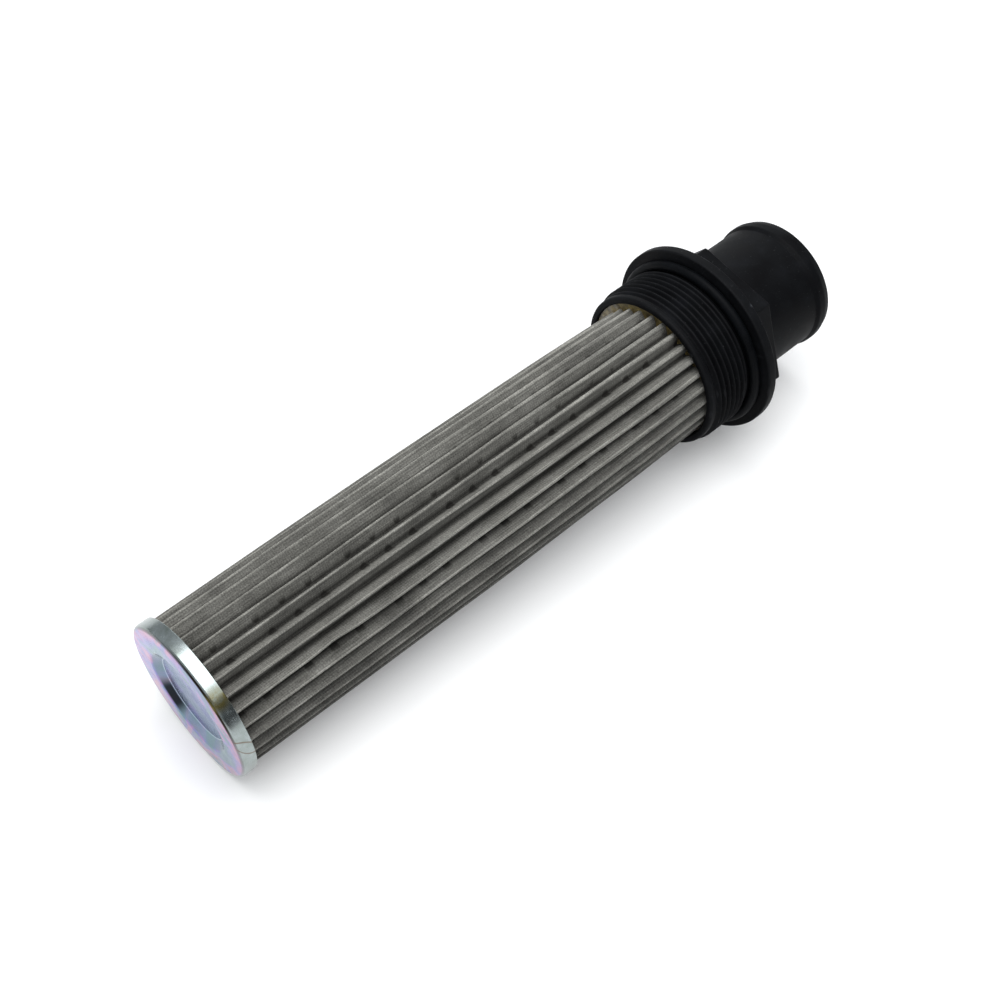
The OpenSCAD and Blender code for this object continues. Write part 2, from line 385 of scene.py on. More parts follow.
@dataclass(frozen=True)
class ZincPlate(Finish):
    """Pressed steel with bright zinc plate and a clear passivate.

    The passivate film gives pale violet, blue and pink bands over a soft mirror on the face. The handled
    skirt is greyer, with an oily patch and two brown scratches. Painted reflections darken a spot on the
    well's wall and tint the wall teal-grey, a painted highlight lies along the well floor's crease, and the
    dark line round the face's edge is partly dirt and partly painted dark reflection.
    """

    name: ClassVar[str] = "zinc_plate"
    band_mm: float = 11.0
    smear_mm: float = 5.0
    ripple_mm: float = 3.0
    relief_mm: float = 0.08
    skirt_r_mm: float = 26.828
    skirt_edge_mm: tuple[float, float] = (1.3, 0.3)
    film_shift: tuple[float, float] = (-0.07, 0.09)
    patch_at_mm: Point = (-212.8, -18.2, 19.7)
    patch_mm: float = 4.8
    dark_reflection_at_mm: Point = (-214.3, 12.3, -10.4)
    dark_reflection_mm: float = 8.0
    wall_mm: tuple[float, float] = (16.0, 1.6)
    floor_mm: tuple[float, float] = (0.0, 14.8)
    crease_highlight_mm: tuple[float, float] = (14.6, 0.26)
    edge_mm: tuple[float, float] = (26.2, 0.46)
    scratches: tuple[Scratch, ...] = (Scratch(-212.6, 166.0, 0.75, 0.05), Scratch(-213.2, 175.5, 1.2, -0.2))
    scratch_mm: float = 0.42
    scratch_core: float = 0.3
    edge_dark_at_mm: Point = (-214.9, -17.0, 20.0)
    edge_dark_mm: float = 20.0
    edge_dark_least: float = 0.35
    fade_mm: float = 0.7
    mark_core: float = 0.35

    def near(self, tree: Tree, place: Socket, centre_mm: Point, reach_mm: float) -> Node:
        """Marks what lies near a point.

        Args:
            tree: The material's node tree.
            place: The point in the row frame, in metres.
            centre_mm: The middle of the mark.
            reach_mm: How far it reaches.

        Returns:
            A node that falls from one at the middle to nought at the reach.
        """
        centre = tuple(c * MM for c in centre_mm)
        away = add_node(tree, VECTOR, {0: place, 1: centre}, operation="DISTANCE")
        span = {"Value": away, "From Min": reach_mm * MM, "From Max": self.mark_core * reach_mm * MM}
        return add_node(tree, SPREAD, span, interpolation_type="SMOOTHSTEP")

    def ring(self, tree: Tree, radius: Node, middle_and_half_mm: tuple[float, float]) -> Node:
        """Marks a ring round the axis.

        Args:
            tree: The material's node tree.
            radius: The point's distance from the axis, in metres.
            middle_and_half_mm: The ring's middle radius and half its width.

        Returns:
            A node that gives one inside the ring and fades to nought at its edges.
        """
        middle, half = (size * MM for size in middle_and_half_mm)
        offset = add_node(tree, MATH, {0: radius, 1: middle}, operation="SUBTRACT")
        away = add_node(tree, MATH, {0: offset}, operation="ABSOLUTE")
        soft = min(0.5 * half, self.fade_mm * MM)
        span = {"Value": away, "From Min": half, "From Max": half - soft}
        return add_node(tree, SPREAD, span, interpolation_type="SMOOTHSTEP")

    def scratched(self, tree: Tree, place: Socket, skirt: Node) -> Node:
        """Marks the scratches on the skirt.

        Args:
            tree: The material's node tree.
            place: The point in the row frame, in metres.
            skirt: One on the skirt and nought on the face.

        Returns:
            A node that gives one in a scratch.
        """
        axes = add_node(tree, SPLIT, {"Vector": place}).outputs
        x = axes["X"]
        half_turn = add_node(tree, MATH, {0: axes["Z"], 1: axes["Y"]}, operation="ARCTAN2")
        # angles count on past the half turn, so that the marks cross it
        turn = add_node(tree, MATH, {0: half_turn, 1: math.tau}, operation="FLOORED_MODULO")
        radius = self.skirt_r_mm
        lines = []
        for scratch in self.scratches:
            from_start = -math.radians(scratch.turn_deg) * radius
            arc = add_node(tree, MATH, {0: turn, 1: radius, 2: from_start}, operation="MULTIPLY_ADD")
            along = add_node(tree, MATH, {0: x, 1: 1 / MM, 2: -scratch.x_mm}, operation="MULTIPLY_ADD")
            curve = {0: along, 1: scratch.bend, 2: scratch.slant}
            rise = add_node(tree, MATH, curve, operation="MULTIPLY_ADD")
            route = add_node(tree, MATH, {0: along, 1: rise}, operation="MULTIPLY")
            off = add_node(tree, MATH, {0: arc, 1: route}, operation="SUBTRACT")
            gap = add_node(tree, MATH, {0: off}, operation="ABSOLUTE")
            width, core = self.scratch_mm, self.scratch_core * self.scratch_mm
            lines.append(add_node(tree, SPREAD, {"Value": gap, "From Min": width, "From Max": core}))
        marks = lines[0]
        for line in lines[1:]:
            marks = add_node(tree, MATH, {0: marks, 1: line}, operation="MAXIMUM")
        return add_node(tree, MATH, {0: marks, 1: skirt}, operation="MULTIPLY")

    def film(self, tree: Tree, place: Socket, radius: Node) -> Node:
        """Colours the passivate film, which grows thicker from the well to the rim.

        Args:
            tree: The material's node tree.
            place: The point in the row frame, in metres.
            radius: The point's distance from the axis, in metres.

        Returns:
            A node that gives the film's colour.
        """
        scale = 1 / (self.band_mm * MM)
        pattern = {"Vector": place, "Scale": scale, "Detail": 2.0, "Roughness": 0.5, "Distortion": 1.2}
        band = add_node(tree, NOISE, pattern)
        span = {"Value": radius, "From Min": self.wall_mm[0] * MM, "From Max": self.skirt_r_mm * MM}
        shift = add_node(tree, SPREAD, {**span, "To Min": self.film_shift[0], "To Max": self.film_shift[1]})
        thickness = add_node(tree, MATH, {0: band, 1: shift}, operation="ADD")
        stops = (
            (0.28, "#688a8d"),
            (0.4, "#6d859a"),
            (0.5, "#8080b6"),
            (0.58, "#a37fae"),
            (0.66, "#b5849c"),
            (0.76, "#788a9f"),
        )
        return add_node(tree, RAMP, {"Fac": thickness}, stops)

    def shade(self, tree: Tree) -> dict[str, object]:
        """Adds the plate's nodes; see Finish.shade."""
        place = add_node(tree, PLACE).outputs["Object"]
        section = add_node(tree, VECTOR, {0: place, 1: (0.0, 1.0, 1.0)}, operation="MULTIPLY")
        radius = add_node(tree, VECTOR, {0: section}, operation="LENGTH")
        smear = add_node(
            tree, NOISE, {"Vector": place, "Scale": 1 / (self.smear_mm * MM), "Detail": 6.0, "Roughness": 0.7}
        )
        handled = add_node(tree, RAMP, {"Fac": smear}, ((0.3, "#858f89"), (0.5, "#979f9e"), (0.7, "#a9b2b3")))
        inner, outer = ((self.skirt_r_mm - inset) * MM for inset in self.skirt_edge_mm)
        skirt = add_node(tree, SPREAD, {"Value": radius, "From Min": inner, "From Max": outer})
        face = self.film(tree, place, radius)
        colour = add_node(tree, MIX, {"Factor": skirt, "A": face, "B": handled}, data_type="RGBA")
        oily = add_node(tree, SPREAD, {"Value": smear, "From Min": 0.25, "From Max": 0.5})
        patch_at = self.near(tree, place, self.patch_at_mm, self.patch_mm)
        patch = add_node(tree, MATH, {0: patch_at, 1: oily}, operation="MULTIPLY")
        wall = self.ring(tree, radius, self.wall_mm)
        # painted reflection: the well's wall is darkened near one point, where it mirrors the dark
        dark_reflection_at = self.near(tree, place, self.dark_reflection_at_mm, self.dark_reflection_mm)
        dark_reflection = add_node(tree, MATH, {0: dark_reflection_at, 1: wall}, operation="MULTIPLY")
        # the dark line round the face's edge is partly dirt and partly painted dark reflection; it is darkest
        # near one point and fainter elsewhere
        edge_dark_at = self.near(tree, place, self.edge_dark_at_mm, self.edge_dark_mm)
        least = self.edge_dark_least
        edge_dark = add_node(tree, MATH, {0: edge_dark_at, 1: 1 - least, 2: least}, operation="MULTIPLY_ADD")
        rim = self.ring(tree, radius, self.edge_mm)
        thin = add_node(tree, MATH, {0: rim, 1: edge_dark}, operation="MULTIPLY")
        marks = (
            (self.ring(tree, radius, self.floor_mm), "#6473a8", 0.5),
            # painted highlight along the crease at the edge of the well's floor
            (self.ring(tree, radius, self.crease_highlight_mm), "#c3d0dc", 0.6),
            (thin, "#211a12", 1.0),
            # painted reflection: the well's wall is tinted teal-grey for what its slope mirrors
            (wall, "#74858f", 0.75),
            (patch, "#6e6537", 0.95),
            (self.scratched(tree, place, skirt), "#6a5748", 0.75),
            (dark_reflection, "#0c0f10", 0.95),
        )
        for mark, code, strength in marks:
            share = add_node(tree, MATH, {0: mark, 1: strength}, operation="MULTIPLY")
            colour = add_node(tree, MIX, {"Factor": share, "A": colour, "B": linear(code)}, data_type="RGBA")
        rough = add_node(
            tree, SPREAD, {"Value": smear, "From Min": 0.3, "From Max": 0.7, "To Min": 0.16, "To Max": 0.3}
        )
        ripple = add_node(tree, NOISE, {"Vector": place, "Scale": 1 / (self.ripple_mm * MM), "Detail": 2.0})
        bump = add_node(tree, BUMP, {"Height": ripple, "Strength": 0.25, "Distance": self.relief_mm * MM})
        return {"Base Color": colour, "Metallic": 1.0, "Roughness": rough, "Normal": bump}


@dataclass(frozen=True)
class CastEpoxy(Finish):
    """Epoxy resin, cast and cured in place: dull tan with brown pools, small pits and a wet gloss."""

    name: ClassVar[str] = "resin"
    pool_mm: float = 3.5
    pit_mm: float = 0.8
    pit_share: float = 0.35
    relief_mm: float = 0.3

    def shade(self, tree: Tree) -> dict[str, object]:
        """Adds the resin's nodes; see Finish.shade."""
        place = add_node(tree, PLACE).outputs["Object"]
        pool = add_node(
            tree, NOISE, {"Vector": place, "Scale": 1 / (self.pool_mm * MM), "Detail": 4.0, "Roughness": 0.6}
        )
        pit = add_node(tree, NOISE, {"Vector": place, "Scale": 1 / (self.pit_mm * MM), "Detail": 2.0})
        mixed = add_node(tree, MATH, {0: pit, 1: self.pit_share, 2: pool}, operation="MULTIPLY_ADD")
        stops = ((0.5, "#4a3f24"), (0.68, "#776840"), (0.85, "#a5915a"))
        colour = add_node(tree, RAMP, {"Fac": mixed}, stops)
        bump = add_node(tree, BUMP, {"Height": mixed, "Strength": 0.4, "Distance": self.relief_mm * MM})
        return {"Base Color": colour, "Roughness": 0.36, "IOR": 1.55, "Normal": bump}


@dataclass(frozen=True)
class OpalAcrylic(Finish):
    """Opal acrylic sheet, cast matt, as a light table: near white with the faintest mottle and a low glow."""

    name: ClassVar[str] = "studio_floor"
    mottle_mm: float = 60.0
    glow: float = 0.16

    def shade(self, tree: Tree) -> dict[str, object]:
        """Adds the sheet's nodes; see Finish.shade."""
        place = add_node(tree, PLACE).outputs["Object"]
        mottle = add_node(tree, NOISE, {"Vector": place, "Scale": 1 / (self.mottle_mm * MM)})
        return {
            "Base Color": add_node(tree, RAMP, {"Fac": mottle}, ((0.3, "#e6e6e6"), (0.7, "#ebebeb"))),
            "Roughness": 0.8,
            "Specular IOR Level": 0.2,
            "Emission Color": linear("#ffffff"),
            "Emission Strength": self.glow,
        }


class Corner(NamedTuple):
    """A corner of a turned profile: place along the axis, radius, rounding, and share of the hexagon."""

    x: float
    r: float
    rounding: float = 0.0
    hexed: float = 0.0


def rounded_path(corners: list[Corner], closed: bool, steps: int = 5) -> np.ndarray:
    """Rounds the corners of a profile.

    Args:
        corners: The corners in order.
        closed: Whether the last corner joins the first.
        steps: Segments in each rounding.

    Returns:
        Rows of place along the axis, radius and share of the hexagon.
    """
    rows: list[tuple[float, float, float]] = []
    count = len(corners)
    most = 0.48  # share of a side that a rounding may use
    for i, corner in enumerate(corners):
        at_end = not closed and i in (0, count - 1)
        here = np.array([corner.x, corner.r])
        if at_end or corner.rounding <= 0:
            rows.append((*here, corner.hexed))
            continue
        sides = [np.array(corners[j % count][:2]) - here for j in (i - 1, i + 1)]
        reach = [float(np.linalg.norm(s)) for s in sides]
        unit = [s / n for s, n in zip(sides, reach)]
        half = math.acos(float(np.clip(unit[0] @ unit[1], -1, 1))) / 2
        run = min(corner.rounding / math.tan(half), most * min(reach))
        radius = run * math.tan(half)
        middle = unit[0] + unit[1]
        centre = here + middle / np.linalg.norm(middle) * radius / math.sin(half)
        spokes = [here + u * run - centre for u in unit]
        angles = [math.atan2(s[1], s[0]) for s in spokes]
        sweep = (angles[1] - angles[0] + math.pi) % math.tau - math.pi
        for k in range(steps + 1):
            a = angles[0] + sweep * k / steps
            rows.append((centre[0] + radius * math.cos(a), centre[1] + radius * math.sin(a), corner.hexed))
    return np.array(rows)


def grid_faces(rows: int, cols: int, closed_rows: bool) -> np.ndarray:
    """Joins a grid of points, closed round its columns, into quads.

    Args:
        rows: Rings of points.
        cols: Points in a ring.
        closed_rows: Whether the last ring joins the first.

    Returns:
        Four point numbers for each face.
    """
    r = np.arange(rows if closed_rows else rows - 1)[:, None]
    c = np.arange(cols)[None, :]
    here, above = r * cols, (r + 1) % rows * cols
    beside = (c + 1) % cols
    return np.stack([here + c, here + beside, above + beside, above + c], -1).reshape(-1, 4)


def around(x: np.ndarray, r: np.ndarray, angles: np.ndarray) -> np.ndarray:
    """Places radii round the axis.

    Args:
        x: Place of each ring along the axis, in millimetres.
        r: Radius of each point of each ring, in millimetres.
        angles: Angle of each point of a ring.

    Returns:
        Points in metres, ring by ring.
    """
    x_all = np.broadcast_to(x[:, None], r.shape)
    return np.stack([x_all, r * np.cos(angles), r * np.sin(angles)], -1).reshape(-1, 3) * MM


def make_piece(
    name: str, points: np.ndarray, faces: np.ndarray, finish: bpy.types.Material, sharp_deg: float = 35.0
) -> bpy.types.Object:
    """Makes a shaded mesh object with its points welded and its faces turned outwards.

    Args:
        name: The object's name.
        points: Points in metres.
        faces: Point numbers of each face.
        finish: The material.
        sharp_deg: Edges that bend more than this stay sharp.

    Returns:
        The object, linked to the scene.
    """
    mesh = bpy.data.meshes.new(name)
    mesh.from_pydata(points.tolist(), [], faces.tolist())
    work = bmesh.new()
    work.from_mesh(mesh)
    bmesh.ops.remove_doubles(work, verts=work.verts, dist=1e-7)
    bmesh.ops.recalc_face_normals(work, faces=work.faces)
    work.to_mesh(mesh)
    work.free()
    mesh.shade_smooth()
    mesh.set_sharp_from_angle(angle=math.radians(sharp_deg))
    mesh.materials.append(finish)
    piece = bpy.data.objects.new(name, mesh)
    bpy.context.scene.collection.objects.link(piece)
    return piece


def settle(piece: bpy.types.Object, node: str) -> bpy.types.Object:
    """Puts a piece on the body in the place of a CAD node.

    Args:
        piece: The piece, in the row frame.
        node: The CAD node that it stands for.

    Returns:
        The same piece.
    """
    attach(piece, BODY)
    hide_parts(node)
    LOG.info("%s: %d faces, for %s", piece.name, len(piece.data.polygons), node)
    return piece


def even_angles(count: int) -> np.ndarray:
    """Gives angles that divide the turn evenly."""
    return np.linspace(0.0, math.tau, count, endpoint=False)


@dataclass
class Connector:
    """The moulded connector: cup, tank thread, seal neck, flange, hexagon and hose tail in one piece."""

    cup_mouth: float = -22.25
    cup_floor: float = -9.25
    cup_r: float = 26.328
    mouth_chamfer: float = 0.4
    thread_start: float = -19.45
    thread_end: float = -3.65
    root_r: float = 28.328
    rim_r: float = 28.85
    rim_slope: float = 0.6
    thread_depth: float = 1.479
    thread_pitch: float = 2.309
    thread_phase: float = 0.782
    crest_flatness: float = 1.25
    flange_r: float = 35.118
    flange_t: float = 3.6
    hex_flat_r: float = 26.0
    hex_back: float = 13.8
    hex_flat_deg: float = 43.0
    spigot_r: float = 23.2
    bead_r: float = 24.1
    bead_start: float = 38.8
    bead_top: tuple[float, float] = (40.2, 42.9)
    tail_end: float = 46.1
    tail_end_r: float = 23.0
    bore_r: float = 19.0
    bore_chamfer: float = 0.8
    rings_per_pitch: int = 20
    sides: int = 180
    corner_power: float = 135.0

    def profile(self) -> np.ndarray:
        """Gives the closed half section: place, radius, share of the hexagon and share of the thread."""
        front = [
            Corner(self.cup_mouth, self.cup_r + self.mouth_chamfer, 0.15),
            Corner(self.cup_mouth, self.rim_r, 1.0),
            Corner(self.thread_start - self.rim_slope, self.rim_r, 0.4),
            Corner(self.thread_start, self.root_r),
        ]
        back = [
            Corner(self.thread_end, self.root_r),
            Corner(0.0, self.root_r, 0.3),
            Corner(0.0, self.flange_r, 0.6),
            Corner(self.flange_t, self.flange_r, 0.6),
            Corner(self.flange_t, self.hex_flat_r, 0.5, 1.0),
            Corner(self.hex_back, self.hex_flat_r, 0.5, 1.0),
            Corner(self.hex_back, self.spigot_r, 1.2),
            Corner(self.bead_start, self.spigot_r, 0.8),
            Corner(self.bead_top[0], self.bead_r, 1.6),
            Corner(self.bead_top[1], self.bead_r, 3.0),
            Corner(self.tail_end, self.tail_end_r, 0.9),
            Corner(self.tail_end, self.bore_r + self.bore_chamfer, 0.2),
            Corner(self.tail_end - self.bore_chamfer, self.bore_r, 0.2),
            Corner(self.cup_floor, self.bore_r, 0.3),
            Corner(self.cup_floor, self.cup_r, 1.0),
            Corner(self.cup_mouth + self.mouth_chamfer, self.cup_r, 0.15),
        ]
        path = rounded_path(front + back, closed=True)
        split = int(np.argmin(np.abs(path[:, 0] - self.thread_end) + np.abs(path[:, 1] - self.root_r)))
        turns = (self.thread_end - self.thread_start) / self.thread_pitch
        xs = np.linspace(self.thread_start, self.thread_end, int(turns * self.rings_per_pitch) + 1)[1:-1]
        thread = np.stack([xs, np.full_like(xs, self.root_r), np.zeros_like(xs), np.ones_like(xs)], -1)
        path = np.concatenate([path, np.zeros((len(path), 1))], -1)
        return np.concatenate([path[:split], thread, path[split:]])

    def angles(self) -> np.ndarray:
        """Gives the angles of a ring, closer together at the hexagon's corners."""
        corners = np.radians(self.hex_flat_deg + 30 + 60 * np.arange(6))
        close = np.radians([-1.4, -1.0, -0.65, -0.3, 0.0, 0.3, 0.65, 1.0, 1.4])
        both = np.concatenate([even_angles(self.sides), (corners[:, None] + close).ravel()])
        return np.unique(np.round(both % math.tau, 6))

    def hexagon(self, angles: np.ndarray) -> np.ndarray:
        """Gives how far the rounded hexagon stands beyond its flats at each angle."""
        flats = np.radians(self.hex_flat_deg + 60 * np.arange(6))
        reach = np.clip(np.cos(angles[:, None] - flats), 0.0, None) ** self.corner_power
        return self.hex_flat_r / reach.sum(-1) ** (1 / self.corner_power) - self.hex_flat_r

    def thread(self, x: np.ndarray, angles: np.ndarray) -> np.ndarray:
        """Gives the height of the right-handed thread with rounded crests and roots, run out at both ends."""
        turn = x[:, None] / self.thread_pitch - angles[None, :] / math.tau + self.thread_phase
        wave = 1 - 4 * np.abs(turn % 1.0 - 0.5)
        ridge = 0.5 + 0.5 * np.tanh(self.crest_flatness * wave) / math.tanh(self.crest_flatness)
        run_out = np.minimum(x - self.thread_start, self.thread_end - x) / self.thread_depth
        return self.thread_depth * np.clip(run_out, 0, 1)[:, None] * ridge

    def build(self) -> bpy.types.Object:
        """Builds the connector and puts it on the body."""
        rows, angles = self.profile(), self.angles()
        x, r, hexed, threaded = (rows[:, i : i + 1] for i in range(4))
        r = r + hexed * self.hexagon(angles) + threaded * self.thread(x[:, 0], angles)
        faces = grid_faces(len(rows), len(angles), True)
        piece = make_piece("moulded_connector", around(x[:, 0], r, angles), faces, MouldedNylon().material())
        return settle(piece, "connector")


@dataclass
class SealRing:
    """The rubber O-ring on the neck, with the fine seam that its mould leaves."""

    section_r: float = 1.765
    middle_r: float = 30.153
    x: float = -1.825
    seam: float = 0.03
    seam_share: float = 0.12
    section_sides: int = 40
    sides: int = 180

    def build(self) -> bpy.types.Object:
        """Builds the ring and puts it on the body."""
        a = even_angles(self.section_sides)
        angles = even_angles(self.sides)
        swell = self.section_r - self.seam * (1 - np.exp(-((np.sin(a) / self.seam_share) ** 2)))
        r = np.repeat((self.middle_r + swell * np.cos(a))[:, None], len(angles), 1)
        points = around(self.x + swell * np.sin(a), r, angles)
        faces = grid_faces(len(a), len(angles), True)
        piece = make_piece("seal_ring", points, faces, NitrileRubber().material())
        return settle(piece, "o_ring")


@dataclass
class PleatPack:
    """The woven mesh, folded into pleats that wander a little and lean and draw in at the cup's mouth."""

    start: float = -213.8
    end: float = -10.25
    cap_lip: float = -210.4
    cup_mouth: float = -22.25
    pleats: int = 29
    first_deg: float = -87.1
    twist_deg: float = 1.4
    crest_r: float = 25.45
    valley_r: float = 20.3
    crest_fold: tuple[float, float, float] = (0.15, 0.2, 0.6)
    crest_fold_x: tuple[float, float, float] = (-210.4, -120.0, -22.25)
    valley_fold: float = 0.5
    squareness: float = 0.12
    sheet_t: float = 0.3
    belly: float = 0.4
    mouth_draw: float = 0.6
    mouth_power: int = 8
    lean_deg: float = 210.7
    lean: tuple[float, float] = (-0.1, 0.85)
    wander_deg: float = 0.45
    valley_wander: float = 0.6
    end_wander: float = 0.45
    wave_lengths: tuple[float, ...] = (190.0, 95.0, 55.0)
    wave_spread: float = 0.4
    offset_spread: float = 0.7
    lift: float = 0.14
    lift_limits: tuple[float, float] = (-1.5, 1.0)
    valley_lift: float = 0.07
    kink_x: float = -175.5
    kink_l: float = 5.0
    kink_deg: float = -1.2
    kink_pleat: int = 19
    stations: int = 72
    crest_steps: int = 10
    valley_steps: int = 6
    sharp_deg: float = 60.0
    seed: int = 29

    def wander(self, rng: np.random.Generator, x: np.ndarray) -> np.ndarray:
        """Gives each pleat a slow wave along the axis.

        Args:
            rng: The seeded source of phases.
            x: Stations along the axis, in millimetres.

        Returns:
            Values of about one for each pleat and station.
        """
        shape = (self.pleats, 1)
        total = rng.normal(0.0, self.offset_spread, shape) + np.zeros((1, len(x)))
        for length in self.wave_lengths:
            phase = rng.uniform(0, math.tau, shape)
            total = total + rng.normal(0.0, self.wave_spread, shape) * np.sin(math.tau * x / length + phase)
        return total

    def crest_radius(self, x: np.ndarray) -> np.ndarray:
        """Gives the bend radius of the crests, which grow blunter from the cap to the mouth."""
        return np.interp(x, self.crest_fold_x, self.crest_fold)

    def folds(self, x: np.ndarray) -> tuple[np.ndarray, np.ndarray]:
        """Places the centres of the crest and valley folds.

        Args:
            x: Stations along the axis, in millimetres.

        Returns:
            Angle and radius of the crest centres, then of the valley centres, for each pleat and station.
        """
        rng = np.random.default_rng(self.seed)
        share = np.clip((x - self.cap_lip) / (self.cup_mouth - self.cap_lip), 0, 1)
        turn = np.radians(self.first_deg + 360 / self.pleats * np.arange(self.pleats))[:, None]
        turn = turn - math.radians(self.twist_deg) * (1 - share)
        free = np.sin(math.pi * share) ** 0.5
        loose = self.end_wander + (1 - self.end_wander) * free
        crest = turn + math.radians(self.wander_deg) * self.wander(rng, x) * loose
        valley = turn + math.pi / self.pleats
        valley = valley + math.radians(self.valley_wander * self.wander_deg) * self.wander(rng, x) * loose
        kink = np.exp(-(((x - self.kink_x) / self.kink_l) ** 2))
        crest[self.kink_pleat] += math.radians(self.kink_deg) * kink
        rise = self.belly * np.sin(math.pi * share) - self.mouth_draw * share**self.mouth_power
        aside = self.lean[0] + (self.lean[1] - self.lean[0]) * share
        rise = rise + aside * np.cos(turn - math.radians(self.lean_deg))
        outer = self.crest_r - self.crest_radius(x) - self.sheet_t / 2
        crest_r = outer + rise + self.lift * np.clip(self.wander(rng, x), *self.lift_limits) * free
        inner = self.valley_r + self.valley_fold + self.sheet_t / 2
        valley_r = inner + self.valley_lift * np.abs(self.wander(rng, x)) * free
        return np.stack([crest, crest_r]), np.stack([valley, valley_r])

    def section(self, x: np.ndarray) -> tuple[np.ndarray, np.ndarray, np.ndarray]:
        """Lays arcs round the folds and straight flanks between them.

        Args:
            x: Stations along the axis, in millimetres.

        Returns:
            Middle points of the sheet by station, their outward normals, and how far each is up to the crest.
        """
        (crest_a, crest_r), (valley_a, valley_r) = self.folds(x)
        crest = crest_r * np.exp(1j * crest_a)
        valley = valley_r * np.exp(1j * valley_a)
        ahead = valley - crest
        behind = np.roll(valley, 1, 0) - crest
        crest_fold = self.crest_radius(x)
        lean = [np.arccos((crest_fold + self.valley_fold) / np.abs(step)) for step in (ahead, behind)]
        leave = np.angle(ahead * np.exp(-1j * (crest_a + lean[0])))
        enter = np.angle(behind * np.exp(-1j * (crest_a - lean[1])))
        flip = valley_a + math.pi
        v_in = np.angle(np.exp(1j * (crest_a + leave + math.pi - flip)))
        v_out = np.angle(np.exp(1j * (np.roll(crest_a + enter, -1, 0) + math.pi - flip)))
        points, normals, height = [], [], []
        for k in range(self.crest_steps + 1):
            bend = enter + (leave - enter) * k / self.crest_steps
            way = np.exp(1j * (crest_a + bend))
            points.append(crest + crest_fold * (1 + self.squareness * np.sin(2 * bend) ** 2) * way)
            normals.append(way)
            height.append(np.ones_like(crest_a))
        for k in range(self.valley_steps + 1):
            way = np.exp(1j * (flip + v_in + (v_out - v_in) * k / self.valley_steps))
            points.append(valley + self.valley_fold * way)
            normals.append(-way)
            height.append(np.zeros_like(crest_a))
        joined = [np.stack(part, 1).reshape(-1, len(x)).T for part in (points, normals, height)]
        return joined[0], joined[1], joined[2]

    def sheet_places(self, middle: np.ndarray, height: np.ndarray, x: np.ndarray) -> np.ndarray:
        """Measures the sheet as if it were laid flat.

        Args:
            middle: Middle points of the sheet by station.
            height: Share of the way to the crest.
            x: Stations along the axis, in millimetres.

        Returns:
            Millimetres across and along the sheet and the height, with the first column again at the end.
        """
        steps = np.abs(np.diff(np.concatenate([middle, middle[:, :1]], 1), axis=1)).mean(0)
        across = np.concatenate([[0.0], np.cumsum(steps)])
        height = np.concatenate([height, height[:, :1]], 1)
        return np.stack(np.broadcast_arrays(across[None, :], x[:, None], height), -1)

    def build(self) -> bpy.types.Object:
        """Builds the pleats and puts them on the body."""
        x = np.linspace(self.start, self.end, self.stations)
        middle, normal, height = self.section(x)
        rows, cols = middle.shape
        skins = [middle + side * self.sheet_t / 2 * normal for side in (1, -1)]
        x_all = np.broadcast_to(x[:, None], middle.shape)
        points = np.concatenate([np.stack([x_all, s.real, s.imag], -1).reshape(-1, 3) for s in skins]) * MM
        outer = grid_faces(rows, cols, False)
        ring = np.arange(cols)
        after = (ring + 1) % cols
        ends = [
            np.stack([base + ring, base + after, base + after + rows * cols, base + ring + rows * cols], -1)
            for base in (0, (rows - 1) * cols)
        ]
        faces = np.concatenate([outer, outer[:, ::-1] + rows * cols, *ends])
        piece = make_piece("pleat_pack", points, faces, WovenStainless().material(), self.sharp_deg)
        self.mark_sheet(piece.data, self.sheet_places(middle, height, x), rows, cols)
        return settle(piece, "pleated_mesh")

    def mark_sheet(self, mesh: bpy.types.Mesh, places: np.ndarray, rows: int, cols: int) -> None:
        """Stores the flat sheet's places on the corners of the faces.

        Args:
            mesh: The pleated mesh.
            places: The flat places by station and column.
            rows: Stations.
            cols: Points in a station's section.
        """
        verts = np.zeros(len(mesh.loops), np.int32)
        mesh.loops.foreach_get("vertex_index", verts)
        verts %= rows * cols
        row, col = verts // cols, verts % cols
        quads = col.reshape(-1, 4)
        wraps = (quads.max(1) == cols - 1) & (quads.min(1) == 0)
        col = np.where(np.repeat(wraps, 4) & (col == 0), cols, col)
        attribute = mesh.attributes.new("sheet", "FLOAT_VECTOR", "CORNER")
        attribute.data.foreach_set("vector", places[row, col].astype(np.float32).ravel())


@dataclass
class EndCap:
    """The pressed end cap: skirt, rounded edge and dished well."""

    face: float = -215.4
    lip: float = -210.4
    skirt_r: float = 26.828
    sheet_t: float = 0.6
    edge_r: float = 1.4
    well_r: float = 17.6
    well_floor_r: float = 14.6
    well_depth: float = 2.2
    sides: int = 240
    rounding_steps: int = 7

    def build(self) -> bpy.types.Object:
        """Builds the cap and puts it on the body."""
        back = self.face + self.sheet_t
        floor = self.face + self.well_depth
        outside = [
            Corner(floor, 0.0),
            Corner(floor, self.well_floor_r, 0.8),
            Corner(self.face, self.well_r, 2.2),
            Corner(self.face, self.skirt_r, self.edge_r),
            Corner(self.lip, self.skirt_r, 0.2),
        ]
        inside = [
            Corner(self.lip, self.skirt_r - self.sheet_t, 0.2),
            Corner(back, self.skirt_r - self.sheet_t, self.edge_r - self.sheet_t),
            Corner(back, self.well_r + self.sheet_t, 0.4),
            Corner(floor + self.sheet_t, self.well_floor_r + self.sheet_t, 0.8),
            Corner(floor + self.sheet_t, 0.0),
        ]
        rows = rounded_path(outside + inside, closed=False, steps=self.rounding_steps)
        angles = even_angles(self.sides)
        points = around(rows[:, 0], np.repeat(rows[:, 1:2], len(angles), 1), angles)
        faces = grid_faces(len(rows), len(angles), False)
        piece = make_piece("pressed_cap", points, faces, ZincPlate().material())
        return settle(piece, "end_cap")


class ResinEnd(Enum):
    """The two ends where resin holds the element."""

    OUTLET = "outlet"
    CAP = "cap"


